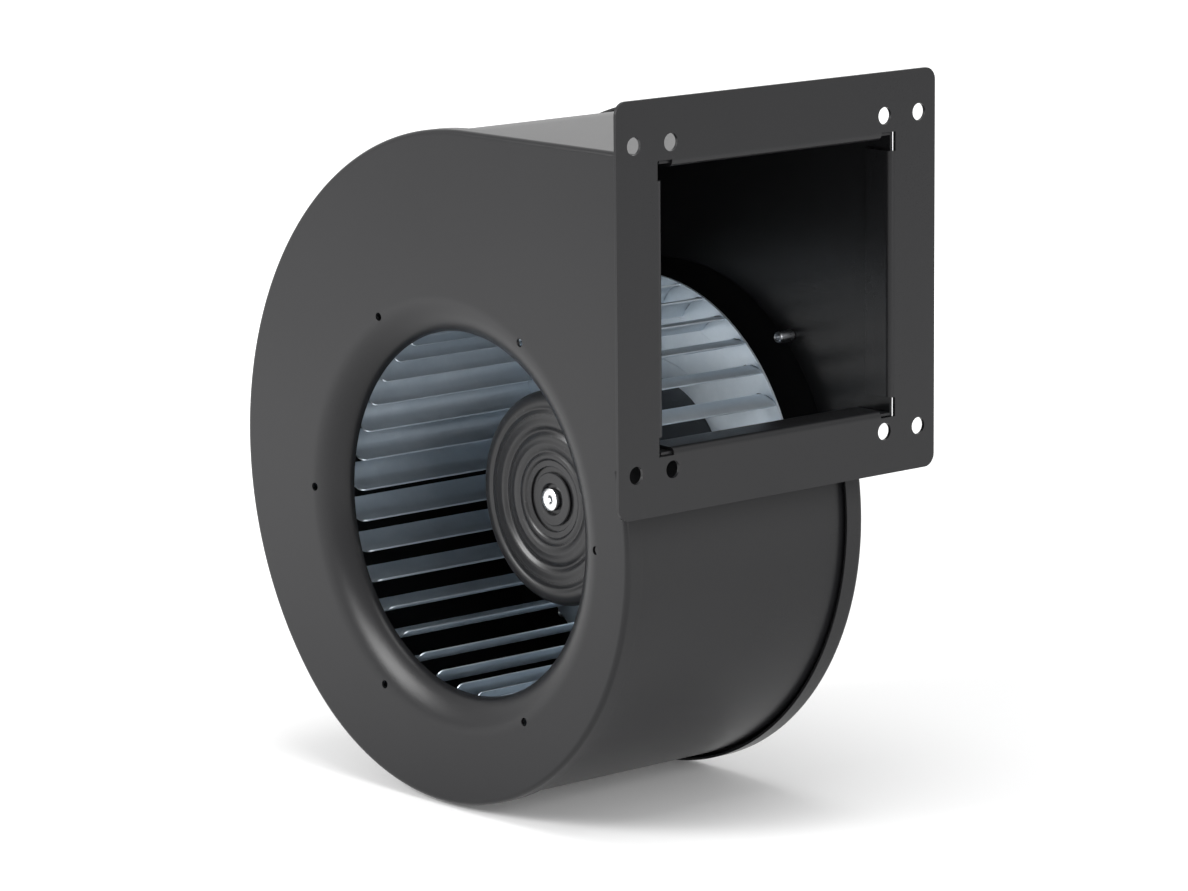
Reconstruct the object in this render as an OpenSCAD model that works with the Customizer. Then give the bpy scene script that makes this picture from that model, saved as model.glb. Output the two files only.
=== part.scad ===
// Forward-curved blower: a folded steel scroll, a galvanised wheel and an external-rotor DC motor.
// Frame: the origin is on the shaft axis, in the outer face of the inlet plate.
// +X runs to the outlet, +Y into the body away from the inlet, +Z up. Millimetres.

/* [Scroll housing] */
// Thickness of the housing sheet
sheet_t = 1; // [0.8:0.1:1.4]
// Depth of the housing over both side plates
body_depth = 105; // [105:0.5:112]
// Gap between the wheel and the small scroll arc, which runs under it and up to the tongue
scroll_gap = 24.5; // [23.2:0.1:25.7]
// How much larger the large scroll arc is, over the back and the top
arc_step = 21.2; // [19.2:0.1:23.2]
// Centre of the large arc, to the outlet side of the shaft
back_arc_x = 7.5; // [6:0.5:9]
// Centre of the large arc above the shaft
back_arc_z = 12.5; // [11:0.5:14]
// Angle at which the small arc takes over from the large one
arc_change_a = 223; // [218:1:228]
// Height of the duct floor's underside above the shaft
floor_z = 34.5; // [33:0.5:36]
// Bend radius of the tongue where the floor turns into the scroll
tongue_r = 5; // [4:0.5:6]
// Outside bend radius where a side plate turns into its rim
rim_bend_r = 1.6; // [1.5:0.1:2]
// Depth of the inlet plate's rim
inlet_rim = 6.4; // [5:0.2:9]
// Gap that the inlet plate's rim leaves round the wrap
inlet_standoff = 0.15; // [0.15:0.05:0.6]
// Depth of the rear plate's rim
rear_rim = 7.5; // [5:0.5:10]
// Gap that the rear plate's rim leaves round the wrap
rear_standoff = 1.2; // [0.8:0.1:2]

/* [Inlet] */
// How far the nozzle's throat lies inside the blades' inner edges
throat_inset = 0.5; // [0.2:0.1:2.8]
// Depth of the nozzle's end behind the plate's face
nozzle_depth = 8.4; // [7:0.2:9]
// Radial width of the rolled nozzle, from the flat plate to its throat
nozzle_width = 12.7; // [11.7:0.1:13.7]
// Bend radius at the nozzle's throat
nozzle_lip_r = 5; // [4:0.5:6]
// How far the guard holes lie inside the nozzle's outer edge
guard_inset = 1; // [-4:0.5:4]
// Diameter of a guard hole
guard_hole_d = 2.9; // [2:0.1:4.5]
// Number of guard holes
guard_holes = 6; // [3:1:12]

/* [Outlet flange] */
// Distance of the flange's face from the shaft
outlet_x = 105.9; // [104:0.1:125]
// Thickness of the flange's sheet
flange_t = 1.2; // [1:0.1:1.6]
// How far the flange stands out past the housing's width, each side
flange_over_y = 18; // [16.5:0.5:22]
// How far the flange stands out past the duct's roof and floor
flange_over_z = 18.75; // [16.5:0.25:21.5]
// Corner radius of the flange
flange_corner_r = 4.3; // [2:0.1:8]
// Depth of the lips that the flange folds back into the duct
lip_depth = 11.6; // [8:0.2:14]
// Length that each lip is cut back from the opening's corners
lip_relief = 4; // [3:0.5:6]
// Outside bend radius at a lip's root
lip_bend_r = 2; // [1.8:0.1:2.4]
// How far the flange's centre lies above the opening's centre, and behind it
flange_shift = 0.5; // [0:0.1:1]
// Diameter of a flange hole
flange_hole_d = 5.8; // [4:0.1:6.6]
// Distance of the outer holes from the flange's side edges
hole_edge_y = 7.5; // [6:0.5:8.5]
// Spacing of the two holes of each pair
hole_spacing = 15.7; // [8:0.1:23]
// Distance of the holes from the flange's top and bottom edges
hole_edge_z = 14.45; // [11:0.05:15.2]

/* [Impeller] */
// Outside radius of the wheel
wheel_r = 73.3; // [72:0.1:75]
// Radial depth of the blades
blade_depth = 10.1; // [9:0.1:10.2]
// Number of blades
blades = 37; // [24:1:40]
// Thickness of a blade
blade_t = 0.6; // [0.5:0.1:0.8]
// Angle by which a blade's outer edge leads its inner edge
blade_lead_a = 6.5; // [5:0.1:7.5]
// Radius of a blade's curve
blade_curve_r = 10.5; // [9:0.5:14]
// Angle of the first blade from the top, as the wheel stands
blade_start_a = -62.1; // [-90:0.1:90]
// Depth at which the blades start
blades_y = 12; // [11.5:0.1:14]
// Room from the rear disc's face, where the blades end, to the back of the housing
disc_room = 14.6; // [14:0.1:17]
// Thickness of the rear disc and of the front ring
disc_t = 0.8; // [0.6:0.1:1]
// Corner radius at the blades' inner front corner
blade_corner_r = 2.2; // [1:0.1:3]
// Radial width of the front ring
ring_width = 5.4; // [4:0.2:7]
// Step of the disc at each pressed ring
disc_step = 0.5; // [0.3:0.1:0.8]
// How far the disc's outer pressed ring lies inside the wheel's edge
disc_ring_inset = 11.5; // [11.3:0.1:15]
// How far the disc's inner pressed ring lies outside the rotor
disc_seat_room = 7.1; // [5.9:0.1:8.5]

/* [Rotor] */
// Outside radius of the rotor can
rotor_r = 37.4; // [36.6:0.1:38.5]
// Length of the rotor can, forward from the wheel's hub
can_length = 49.1; // [48.3:0.1:49.5]
// Wall of the rotor can
rotor_t = 1.5; // [1.2:0.1:1.8]
// Radius of the can's front shoulder
shoulder_r = 4.1; // [3:0.1:5]
// Diameter of the shaft
shaft_d = 8; // [7.6:0.1:8]
// How far the shaft stands out of the rotor's face
shaft_stand = 1; // [0.4:0.1:1.6]
// Number of rotor magnets
magnets = 12; // [8:2:14]
// Thickness of a rotor magnet
magnet_t = 3.6; // [3:0.1:3.8]

/* [Motor] */
// Set-back of the stator core from the rotor's face
core_set = 13.4; // [12.9:0.1:15.4]
// Height of the laminated stack
core_h = 20; // [16:0.5:20]
// Air gap between the core and the magnets
air_gap = 0.7; // [0.5:0.1:1]
// Number of stator teeth
teeth = 9; // [6:3:9]
// Set-back of the front bearing from the rotor's face
bearing_set = 7.4; // [7.2:0.1:8.4]
// Pitch circle of the motor screws
motor_screw_pcd = 72; // [66:1:80]
// Radius of the motor flange
motor_flange_r = 46; // [44:0.5:60]

/* [Carrier plate] */
// Room round the wheel in the rear plate's opening
rear_hole_play = 3.7; // [2.2:0.1:4.2]
// How far the carrier plate laps over the rear plate
carrier_lap = 10; // [7.5:0.5:12]
// Thickness of the carrier plate
carrier_t = 1.5; // [1.2:0.1:2]
// Distance of the carrier rivets from the rear plate's opening
rivet_set = 3.5; // [3:0.1:5]
// Diameter of a carrier rivet's shank
rivet_d = 3.4; // [3:0.1:4]
// Distance of the cable grommet's centre from the motor flange's edge
grommet_room = 8; // [7.5:0.5:9.5]

/* [Hidden] */
$fn = 96;
eps = 0.01;
// how far joined sketches, and a rim and its plate, reach into each other
overlap = 5;
plate_lap = 1;
// the rims stop before the tongue, and a relief notch parts them from its edge
rim_stop_a = 1.5;
relief_end_a = 0.8;
// clearances: a light press or glue line, a sliding fit, and a ball in its race
snug = 0.03;
slide = 0.3;
ball_play = 0.12;

// wheel: the blades lie inside its edge, and the disc is set from the back of the housing
blade_outer_r = wheel_r - 0.4;
blade_inner_r = blade_outer_r - blade_depth;
disc_y = body_depth - disc_room;
blades_end_y = disc_y;
disc_ring_r = wheel_r - disc_ring_inset;
tab_rs = [wheel_r - 6.6, wheel_r - 2.3];
blade_span_a = 20;
tab_w = 2.2;
tab_stand = 0.9;
slot_play = 0.5;
hub_t = 1.5;
disc_back_y = disc_y + 2 * disc_step + disc_t;
can_end_y = disc_back_y + hub_t;
disc_seat_r = rotor_r + disc_seat_room;
hub_r = disc_seat_r + 3;
disc_bore_r = rotor_r + snug;
hub_rivets_n = 6;
hub_rivet_r = (rotor_r + disc_seat_r) / 2;
hub_rivet_d = 2.6;
hub_head_d = 5;
hub_head_t = 1;

// scroll: the small arc's centre lies on the line through the arc change, so the arcs are tangent
low_arc_r = wheel_r + scroll_gap;
back_arc_r = low_arc_r + arc_step;
low_arc_x = back_arc_x + (back_arc_r - low_arc_r) * cos(arc_change_a);
low_arc_z = back_arc_z + (back_arc_r - low_arc_r) * sin(arc_change_a);
top_z = back_arc_z + back_arc_r;
tongue_z = floor_z - tongue_r;
tongue_x = low_arc_x + sqrt(pow(low_arc_r + tongue_r, 2) - pow(tongue_z - low_arc_z, 2));
tongue_a = atan2(tongue_z - low_arc_z, tongue_x - low_arc_x);
duct_end_x = outlet_x - flange_t;
rear_y = body_depth - sheet_t;

// nozzle: a wide arc from the plate that runs tangent into the lip's arc
throat_r = blade_inner_r - throat_inset;
nozzle_mouth_r = throat_r + nozzle_width;
guard_pitch_r = nozzle_mouth_r - guard_inset;
guard_start_a = -30;
nozzle_run = nozzle_width - nozzle_lip_r;
nozzle_fall = nozzle_depth - nozzle_lip_r;
nozzle_extra_r = (pow(nozzle_run, 2) + pow(nozzle_fall, 2)) / (2 * nozzle_fall);
nozzle_arc_r = nozzle_lip_r + nozzle_extra_r;
nozzle_arc_a = asin(nozzle_run / nozzle_extra_r);

// outlet opening, clear between the lips, and the flange round it
flange_w = body_depth + 2 * flange_over_y;
flange_h = top_z - floor_z + 2 * flange_over_z;
outer_pitch = flange_w - 2 * hole_edge_y;
inner_pitch = outer_pitch - 2 * hole_spacing;
row_pitch = flange_h - 2 * hole_edge_z;
open_y0 = sheet_t + flange_t;
open_y1 = rear_y - flange_t;
open_z0 = floor_z + 2 * sheet_t + flange_t;
open_z1 = top_z - 2 * sheet_t - flange_t;
flange_y = (open_y0 + open_y1) / 2 + flange_shift;
flange_z = (open_z0 + open_z1) / 2 + flange_shift;

// rotor centre
boss_r = 9.3;
boss_hole_r = 5.4;
face_hole_r = 11.3;
bush_flange_r = 16;
bush_flange_t = 2;
rotor_y = can_end_y - can_length;
shaft_y = rotor_y - shaft_stand;
can_inside_y = rotor_y + rotor_t;
magnet_outer_r = rotor_r - rotor_t - snug;
magnet_inner_r = magnet_outer_r - magnet_t;
magnet_gap_a = 3;
magnet_over = 1.5;

// stator
core_r = magnet_inner_r - air_gap;
tooth_w = 6.4;
tooth_head_t = 2.2;
tooth_head_a = 35;
yoke_r = 18.2;
insulator_t = 1.2;
coil_t = 2;
coil_r0 = yoke_r + 1.4;
coil_r1 = core_r - tooth_head_t - 0.8;
core_y = rotor_y + core_set;
core_end_y = core_y + core_h;
coil_end_y = core_end_y + insulator_t + coil_t;
board_y = coil_end_y + 2.6;
board_t = 1.6;
board_r = magnet_inner_r - 1;
board_posts = 3;
post_r = 1.3;
capacitor_d = 8;
capacitor_h = 6;
chip_w = 6;
chip_l = 5;
chip_t = 1.6;

// bearings: bore, outside and width of a common 8 x 22 x 7 size
bearing_r = 11;
bearing_w = 7;
ball_r = 1.9;
ball_pitch_r = 7.5;
balls = 7;
inner_ring_r = 5.9;
outer_ring_r = 9.1;
washer_t = 1;
bearing_y = rotor_y + bearing_set;
rear_bearing_y = board_y + 4.3;
tube_r = 13.6;
board_bore_r = tube_r + 0.5;
parts_r = (board_bore_r + board_r) / 2;
tube_bore_r = 9.5;
clip_y = rear_bearing_y + bearing_w + 0.2;
clip_t = 0.8;
groove_r = shaft_d / 2 - 0.4;
shaft_end_y = clip_y + 3;

// motor flange and its fixing
cast_y = can_end_y + 2.2;
spigot_r = 17;
spigot_stand = 2.5;
spigot_y = body_depth + carrier_t + spigot_stand;
cap_t = 2;
screw_d = 4;
screw_head_d = 8;
screw_head_t = 2.6;
screw_reach = 7;
motor_screws_n = 4;
rear_hole_r = wheel_r + rear_hole_play;
carrier_r = rear_hole_r + carrier_lap;
rivet_pitch_r = rear_hole_r + rivet_set;
rivets_n = 4;
fixing_start_a = 45;
rivet_head_d = 6.6;
rivet_head_t = 1.4;
rivet_tail_d = 4.2;
rivet_tail = 6.7;
mandrel_d = 2.2;
grommet_x = motor_flange_r + grommet_room;
grommet_d = 11;
grommet_bore_d = 6;
grommet_flange = 1.5;

steel_black = [0.13, 0.13, 0.14];
zinc = [0.62, 0.66, 0.70];

// ---- directions: sketches are drawn in XY and stood up in the body ----

// Sketch x runs to the outlet, sketch y up, and the slab grows into the body.
module slab(from, depth) {
    translate([0, from, 0]) mirror([0, 1, 0]) rotate([90, 0, 0]) linear_extrude(depth) children();
}

// A profile of (radius, depth into the body), turned about the shaft axis.
module turned(from_a = 0, to_a = 360) {
    mirror([0, 1, 0]) rotate([90, 0, 0])
        rotate_extrude(angle = to_a - from_a, start = from_a) children();
}

// Sketch x runs along the depth, sketch y up, and the slab grows towards the outlet.
module across(from, depth) {
    translate([from, 0, 0]) rotate([90, 0, 90]) linear_extrude(depth) children();
}

// Places a sketch at a clockwise angle from the top, as seen from the inlet.
module clock(a) {
    rotate(-a) children();
}

// Copies spaced evenly round the shaft, in the sketch.
module ring_of(n, start = 0) {
    for (i = [0 : n - 1]) clock(start + i * 360 / n) children();
}

// A round pin or hole along the depth, at an angle and radius from the shaft.
module pin_at(a, r, d, from, depth) {
    slab(from, depth) clock(a) translate([0, r]) circle(d = d);
}

// ---- flat shapes ----

module wedge(r, from_a, to_a) {
    steps = 4;
    far = r * 1.5;
    sweep = [for (i = [0 : steps]) from_a + (to_a - from_a) * i / steps];
    polygon(concat([[0, 0]], [for (a = sweep) [far * cos(a), far * sin(a)]]));
}

module sector(r, from_a, to_a) {
    intersection() {
        circle(r);
        wedge(r, from_a, to_a);
    }
}

module arc_band(r0, r1, from_a, to_a) {
    difference() {
        sector(r1, from_a, to_a);
        circle(r0);
    }
}

module rounded_rect(w, h, r) {
    square([w - 2 * r, h], center = true);
    square([w, h - 2 * r], center = true);
    for (x = [-1, 1]) for (y = [-1, 1]) translate([x * (w / 2 - r), y * (h / 2 - r)]) circle(r);
}

// A circle's part between two angles, cut by lines that run from apex through the arc's ends.
// With the apex inside the neighbouring shape the two overlap, and meet only at those ends.
module arc_area(centre, r, apex, from_a, to_a) {
    steps = 6;
    ends = [for (a = [from_a, to_a]) centre + r * [cos(a), sin(a)]];
    turns = [for (i = [1 : steps - 1]) from_a + (to_a - from_a) * i / steps];
    far = [for (a = turns) centre + 1.5 * r * [cos(a), sin(a)]];
    intersection() {
        translate(centre) circle(r);
        polygon(concat([apex, apex + 1.5 * (ends[0] - apex)], far, [apex + 1.5 * (ends[1] - apex)]));
    }
}

// The scroll's inside: two tangent arcs, the duct, and the tongue's concave bend.
// Everything is moved in by inset, and the duct runs on past its end by reach.
module scroll_area(inset, reach = 0) {
    back = [back_arc_x, back_arc_z];
    low = [low_arc_x, low_arc_z];
    low_r = low_arc_r - inset;
    end_x = duct_end_x + reach;
    mouth_z = floor_z + inset;
    arc_area(back, back_arc_r - inset, back, 90, arc_change_a);
    arc_area(low, low_r, low + overlap * [-1, 1], arc_change_a, 360 + tongue_a);
    difference() {
        polygon([
            [back_arc_x, top_z - inset], back - [overlap, 0], low - [overlap, overlap],
            low + low_r * [cos(tongue_a), sin(tongue_a)], [tongue_x, tongue_z],
            [tongue_x, mouth_z], [end_x, mouth_z], [end_x, top_z - inset]
        ]);
        translate([tongue_x, tongue_z]) circle(tongue_r + inset);
    }
}

// ---- side plates ----

// A plate's edge, bent round into its rim: u outwards, v into the body from the plate's face.
// Its flat laps into the plate.
module rim_profile(rim) {
    translate([-rim_bend_r, rim_bend_r]) arc_band(rim_bend_r - sheet_t, rim_bend_r, 270, 360);
    translate([-sheet_t, rim_bend_r]) square([sheet_t, rim - rim_bend_r]);
    translate([-rim_bend_r - plate_lap, 0]) square([plate_lap, sheet_t]);
}

// Moves to a point in two steps, to the hundredth and then the rest, so that arcs meet exactly.
module moved_to(x, z) {
    near = [round(100 * x) / 100, 0, round(100 * z) / 100];
    translate(near) translate([x, 0, z] - near) children();
}

// The rim swept along the outline, which stands off by grow; it stops short of the tongue.
module rim(rim_depth, grow) {
    moved_to(back_arc_x, back_arc_z) turned(90, arc_change_a)
        translate([back_arc_r + grow, 0]) rim_profile(rim_depth);
    moved_to(low_arc_x, low_arc_z) turned(arc_change_a, 360 + tongue_a - rim_stop_a)
        translate([low_arc_r + grow, 0]) rim_profile(rim_depth);
    translate([back_arc_x, 0, top_z + grow]) rim_run(duct_end_x - back_arc_x) rim_profile(rim_depth);
    translate([tongue_x, 0, floor_z - grow]) mirror([0, 0, 1])
        rim_run(duct_end_x - tongue_x) rim_profile(rim_depth);
}

// A straight run towards the outlet: the profile's u turns up and its v into the body.
module rim_run(length) {
    rotate([90, 0, 90]) linear_extrude(length) mirror([1, -1]) children();
}

// The plate round the tongue, which has no rim: from the relief notch to the duct's floor.
module tongue_region() {
    low = [low_arc_x, low_arc_z];
    notch_end = 360 + tongue_a - relief_end_a;
    across_edge = [cos(notch_end), sin(notch_end)];
    deep = 2.5 * tongue_r;
    polygon([
        low + (low_arc_r - deep) * across_edge, low + (low_arc_r + tongue_r / 2) * across_edge,
        [tongue_x, tongue_z], [tongue_x, floor_z + deep]
    ]);
}

// A pan: the flat plate up to its bend, the rim, and the plain edge round the tongue.
module side_plate(rim_depth, grow) {
    slab(0, sheet_t) {
        scroll_area(rim_bend_r + plate_lap / 2 - grow);
        intersection() {
            scroll_area(-grow);
            tongue_region();
        }
    }
    rim(rim_depth, grow);
}

// ---- housing ----

module nozzle_profile() {
    translate([nozzle_mouth_r, nozzle_arc_r])
        arc_band(nozzle_arc_r - sheet_t, nozzle_arc_r, 270 - nozzle_arc_a - eps, 270);
    translate([nozzle_mouth_r - nozzle_extra_r * sin(nozzle_arc_a), nozzle_depth])
        arc_band(nozzle_lip_r - sheet_t, nozzle_lip_r, 180, 270 - nozzle_arc_a + eps);
}

module inlet_plate() {
    color(steel_black) difference() {
        union() {
            difference() {
                side_plate(inlet_rim, inlet_standoff);
                slab(-eps, sheet_t + 2 * eps) circle(nozzle_mouth_r);
            }
            turned() nozzle_profile();
        }
        for (i = [0 : guard_holes - 1])
            pin_at(guard_start_a + i * 360 / guard_holes, guard_pitch_r, guard_hole_d, -1, 2 * sheet_t + 2);
    }
}

// The wrap starts where the inlet plate's bend ends, and stands on the rear plate.
module scroll_wrap() {
    color(steel_black) slab(rim_bend_r, rear_y - rim_bend_r) difference() {
        scroll_area(sheet_t);
        scroll_area(2 * sheet_t, 5);
    }
}

module rear_plate() {
    color(steel_black) difference() {
        translate([0, body_depth, 0]) mirror([0, 1, 0]) side_plate(rear_rim, rear_standoff);
        slab(rear_y - eps, sheet_t + 2 * eps) circle(rear_hole_r);
        for (i = [0 : rivets_n - 1])
            pin_at(fixing_start_a + i * 360 / rivets_n, rivet_pitch_r, rivet_d + 2 * snug,
                   rear_y - eps, sheet_t + 2 * eps);
    }
}

// A lip's section: a outwards from the clear opening, x along the duct. Weld fills the corner
// behind the bend, square to the duct's end, and the lip's root laps into the flange.
module lip_profile() {
    inner = lip_bend_r - flange_t;
    translate([outlet_x - lip_bend_r, lip_bend_r]) difference() {
        sector(lip_bend_r, 270, 360);
        translate([-overlap, -inner]) square([inner + overlap, lip_bend_r]);
    }
    translate([outlet_x - lip_depth, 0]) square([lip_depth - lip_bend_r, flange_t]);
    translate([duct_end_x, lip_bend_r]) square([flange_t, plate_lap]);
}

module outlet_flange() {
    open_w = open_y1 - open_y0;
    open_h = open_z1 - open_z0;
    color(steel_black) {
        across(duct_end_x, flange_t) difference() {
            translate([flange_y, flange_z]) rounded_rect(flange_w, flange_h, flange_corner_r);
            translate([open_y0 - lip_bend_r, open_z0 - lip_bend_r])
                square([open_w + 2 * lip_bend_r, open_h + 2 * lip_bend_r]);
            for (pitch = [outer_pitch, inner_pitch]) for (y = [-1, 1]) for (z = [-1, 1])
                translate([flange_y + y * pitch / 2, flange_z + z * row_pitch / 2])
                    circle(d = flange_hole_d);
        }
        translate([0, 0, open_z1]) slab(open_y0 + lip_relief, open_w - 2 * lip_relief) lip_profile();
        translate([0, 0, open_z0]) mirror([0, 0, 1])
            slab(open_y0 + lip_relief, open_w - 2 * lip_relief) lip_profile();
        translate([0, open_y1, open_z0 + lip_relief])
            linear_extrude(open_h - 2 * lip_relief) lip_profile();
        translate([0, open_y0, open_z0 + lip_relief]) mirror([0, 1, 0])
            linear_extrude(open_h - 2 * lip_relief) lip_profile();
    }
}

module carrier_plate() {
    bead_r = 66;
    bead_w = 3;
    bead_h = 1.2;
    color(steel_black) difference() {
        union() {
            slab(body_depth, carrier_t) circle(carrier_r);
            turned() translate([bead_r, body_depth + carrier_t]) intersection() {
                translate([0, bead_h - bead_w]) circle(bead_w);
                translate([-bead_w, 0]) square([2 * bead_w, bead_h]);
            }
        }
        slab(body_depth - eps, carrier_t + 2 * eps) {
            circle(spigot_r + slide);
            ring_of(rivets_n, fixing_start_a) translate([0, rivet_pitch_r]) circle(d = rivet_d + 2 * snug);
            ring_of(motor_screws_n, fixing_start_a) translate([0, motor_screw_pcd / 2])
                circle(d = screw_d + slide);
            translate([grommet_x, 0]) circle(d = grommet_d);
        }
    }
}

// Blind rivets: a domed head outside, and the open barrel that its mandrel has drawn up inside.
module carrier_rivets() {
    dome_r = (pow(rivet_head_d / 2, 2) + pow(rivet_head_t, 2)) / (2 * rivet_head_t);
    color("silver") for (i = [0 : rivets_n - 1])
        rotate([0, fixing_start_a + i * 360 / rivets_n, 0]) translate([0, 0, rivet_pitch_r]) difference() {
            union() {
                slab(rear_y, sheet_t + carrier_t) circle(d = rivet_d);
                slab(rear_y - rivet_tail, rivet_tail) circle(d = rivet_tail_d);
                intersection() {
                    slab(body_depth + carrier_t, rivet_head_t) circle(d = rivet_head_d);
                    translate([0, body_depth + carrier_t + rivet_head_t - dome_r, 0]) sphere(dome_r);
                }
            }
            slab(rear_y - rivet_tail - eps, 2) circle(d = mandrel_d);
        }
}

// ---- motor, fixed part ----

// Cast flange and bearing tube in one, with ribs between the screw bosses.
module motor_flange() {
    boss_d = 10;
    floor_t = 2.5;
    wall_t = 2.5;
    ribs = 8;
    rib_t = 2;
    color("silver") difference() {
        union() {
            slab(cast_y, floor_t) circle(motor_flange_r);
            slab(cast_y + floor_t, body_depth - cast_y - floor_t) {
                difference() {
                    circle(motor_flange_r);
                    circle(motor_flange_r - wall_t);
                }
                ring_of(ribs, 180 / ribs) translate([-rib_t / 2, tube_r])
                    square([rib_t, motor_flange_r - tube_r - wall_t / 2]);
                ring_of(motor_screws_n, fixing_start_a) translate([0, motor_screw_pcd / 2])
                    circle(d = boss_d);
                circle(spigot_r);
            }
            slab(body_depth, spigot_y - body_depth) circle(spigot_r);
            slab(bearing_y, cast_y - bearing_y) circle(tube_r);
        }
        slab(bearing_y - eps, spigot_y - bearing_y + 2 * eps) circle(tube_bore_r);
        slab(bearing_y - eps, bearing_w + eps) circle(bearing_r + snug);
        slab(rear_bearing_y - washer_t, spigot_y - rear_bearing_y + washer_t + eps)
            circle(bearing_r + snug);
        for (i = [0 : motor_screws_n - 1])
            pin_at(fixing_start_a + i * 360 / motor_screws_n, motor_screw_pcd / 2,
                   screw_d + 2 * snug, body_depth - screw_reach, screw_reach + eps);
    }
}

// Pan-head screws from outside through the carrier plate into the cast bosses.
module motor_screws() {
    head_y = body_depth + carrier_t;
    color("silver") for (i = [0 : motor_screws_n - 1])
        rotate([0, fixing_start_a + i * 360 / motor_screws_n, 0])
            translate([0, 0, motor_screw_pcd / 2]) difference() {
            union() {
                slab(body_depth - screw_reach + 1, screw_reach - 1 + carrier_t) circle(d = screw_d);
                slab(head_y, screw_head_t) circle(d = screw_head_d);
            }
            slab(head_y + screw_head_t - 1.2, 1.2 + eps) {
                square([4.6, 1], center = true);
                square([1, 4.6], center = true);
            }
        }
}

// Pressed cap that closes the bearing tube behind the shaft's end.
module bearing_cap() {
    color("dimgray") {
        slab(spigot_y - cap_t, cap_t) circle(bearing_r);
        slab(spigot_y, 0.8) circle(bearing_r + 1.5);
    }
}

module cable_grommet() {
    color("black") translate([grommet_x, 0, 0]) difference() {
        union() {
            slab(body_depth, carrier_t) circle(d = grommet_d - 2 * snug);
            slab(body_depth + carrier_t, 4) circle(d = grommet_d + 2 * grommet_flange);
            slab(body_depth + carrier_t + 4, 2.5) circle(d = grommet_d - 1);
            slab(body_depth - grommet_flange, grommet_flange) circle(d = grommet_d + 2 * grommet_flange);
        }
        slab(body_depth - grommet_flange - eps, carrier_t + 8 + grommet_flange) circle(d = grommet_bore_d);
    }
}

// The lamination's shape: yoke, straight teeth and their curved heads.
module lamination(grow = 0) {
    difference() {
        union() {
            circle(yoke_r + grow);
            ring_of(teeth) translate([-tooth_w / 2 - grow, 0])
                square([tooth_w + 2 * grow, core_r - tooth_head_t / 2]);
            ring_of(teeth) rotate(90)
                arc_band(core_r - tooth_head_t, core_r, -tooth_head_a / 2, tooth_head_a / 2);
        }
        circle(tube_r + snug);
    }
}

module stator_core() {
    color("gray") slab(core_y, core_h) lamination();
}

module insulator_shape() {
    difference() {
        union() {
            circle(yoke_r + 0.6);
            ring_of(teeth) translate([-tooth_w / 2 - 0.4, 0])
                square([tooth_w + 0.8, core_r - tooth_head_t / 2]);
            ring_of(teeth) rotate(90) arc_band(core_r - tooth_head_t, core_r - 0.4,
                -tooth_head_a / 2 + 1, tooth_head_a / 2 - 1);
        }
        circle(tube_r + snug);
    }
}

module front_insulator() {
    color("ivory") slab(core_y - insulator_t, insulator_t) insulator_shape();
}

module rear_insulator() {
    color("ivory") {
        slab(core_end_y, insulator_t) insulator_shape();
        slab(core_end_y + insulator_t, board_y - core_end_y - insulator_t)
            ring_of(board_posts) translate([0, (tube_r + yoke_r) / 2]) circle(post_r);
    }
}

// One coil round each tooth and its insulators.
module stator_coils() {
    inner_w = tooth_w + 1;
    inner_y = core_y - insulator_t;
    inner_h = core_h + 2 * insulator_t;
    color("peru") for (i = [0 : teeth - 1]) rotate([0, i * 360 / teeth, 0])
        translate([0, inner_y + inner_h / 2, coil_r0]) linear_extrude(coil_r1 - coil_r0) difference() {
            rounded_rect(inner_w + 2 * coil_t, inner_h + 2 * coil_t, coil_t);
            square([inner_w, inner_h], center = true);
        }
}

module driver_board() {
    color("darkgreen") slab(board_y, board_t) difference() {
        circle(board_r);
        circle(board_bore_r);
    }
}

module board_capacitors() {
    color("darkslategray") for (a = [-20, 20, 180])
        pin_at(a, parts_r, capacitor_d, board_y + board_t, capacitor_h);
}

// Power transistors and position sensors, flat on the board.
module board_chips() {
    color("black") slab(board_y + board_t, chip_t) for (a = [55, 90, 125, 225, 255, 285])
        clock(a) translate([0, parts_r]) square([chip_w, chip_l], center = true);
}

// ---- bearings ----

module at_bearings() {
    for (y = [bearing_y, rear_bearing_y]) translate([0, y + bearing_w / 2, 0]) children();
}

module race(r0, r1) {
    turned() difference() {
        translate([r0, -bearing_w / 2]) square([r1 - r0, bearing_w]);
        translate([ball_pitch_r, 0]) circle(ball_r + ball_play);
    }
}

module bearing_outer_rings() {
    color("silver") at_bearings() race(outer_ring_r, bearing_r);
}

module bearing_inner_rings() {
    color("silver") at_bearings() race(shaft_d / 2 + snug, inner_ring_r);
}

module bearing_shields() {
    shield_t = 0.4;
    color("silver") at_bearings() for (side = [-1, 1])
        slab(side * (bearing_w / 2 - 0.6) - shield_t / 2, shield_t) difference() {
            circle(outer_ring_r - snug);
            circle(inner_ring_r + slide);
        }
}

module ring_of_balls(r) {
    for (i = [0 : balls - 1]) rotate([0, i * 360 / balls, 0]) translate([0, 0, ball_pitch_r]) sphere(r);
}

module bearing_balls() {
    color("white") at_bearings() ring_of_balls(ball_r);
}

module bearing_cages() {
    cage_w = 4.8;
    color("goldenrod") at_bearings() difference() {
        slab(-cage_w / 2, cage_w) difference() {
            circle(ball_pitch_r + 0.7);
            circle(ball_pitch_r - 0.7);
        }
        ring_of_balls(ball_r + ball_play);
    }
}

module preload_washer() {
    color("silver") slab(rear_bearing_y - washer_t, washer_t) difference() {
        circle(bearing_r - snug);
        circle(outer_ring_r + 0.2);
    }
}

// ---- rotor and wheel ----

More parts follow.
